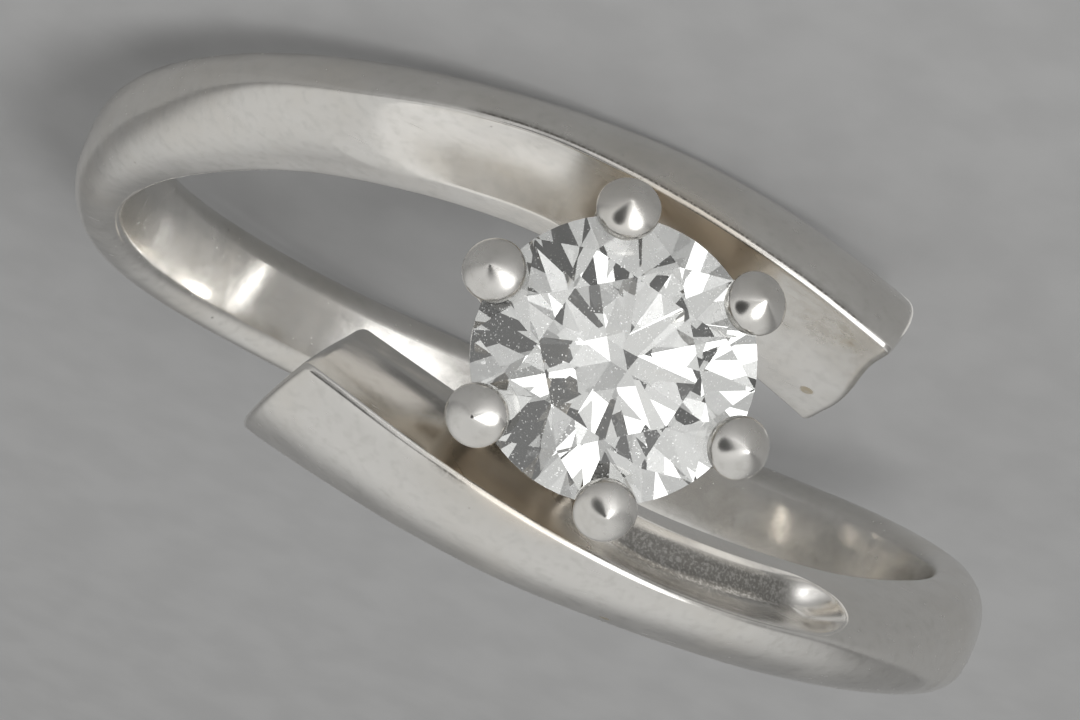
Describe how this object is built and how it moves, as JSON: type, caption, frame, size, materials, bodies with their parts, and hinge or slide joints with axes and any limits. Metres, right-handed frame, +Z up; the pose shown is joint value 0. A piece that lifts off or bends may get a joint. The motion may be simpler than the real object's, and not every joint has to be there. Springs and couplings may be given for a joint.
{
  "type": "solitaire ring",
  "caption": "Finger ring whose shank ends sweep past each other beside a round faceted stone held in ball-tipped claws.",
  "frame": {"origin": "bottom centre of the box of the ring lying on its side, on the surface it rests on", "axes": "+Z up from the surface and near the axis of the finger hole; the stone faces -Y, tilted up about 10 degrees; X across the ring"},
  "size_m": [0.0196, 0.0232, 0.0085],
  "materials": {
    "white_gold": "polished, with fine scratches and a few small tarnish marks",
    "diamond": "cut and polished"
  },
  "bodies": {
    "root": {"ring_metal": "white_gold", "diamond": "diamond"}
  },
  "joints": []
}
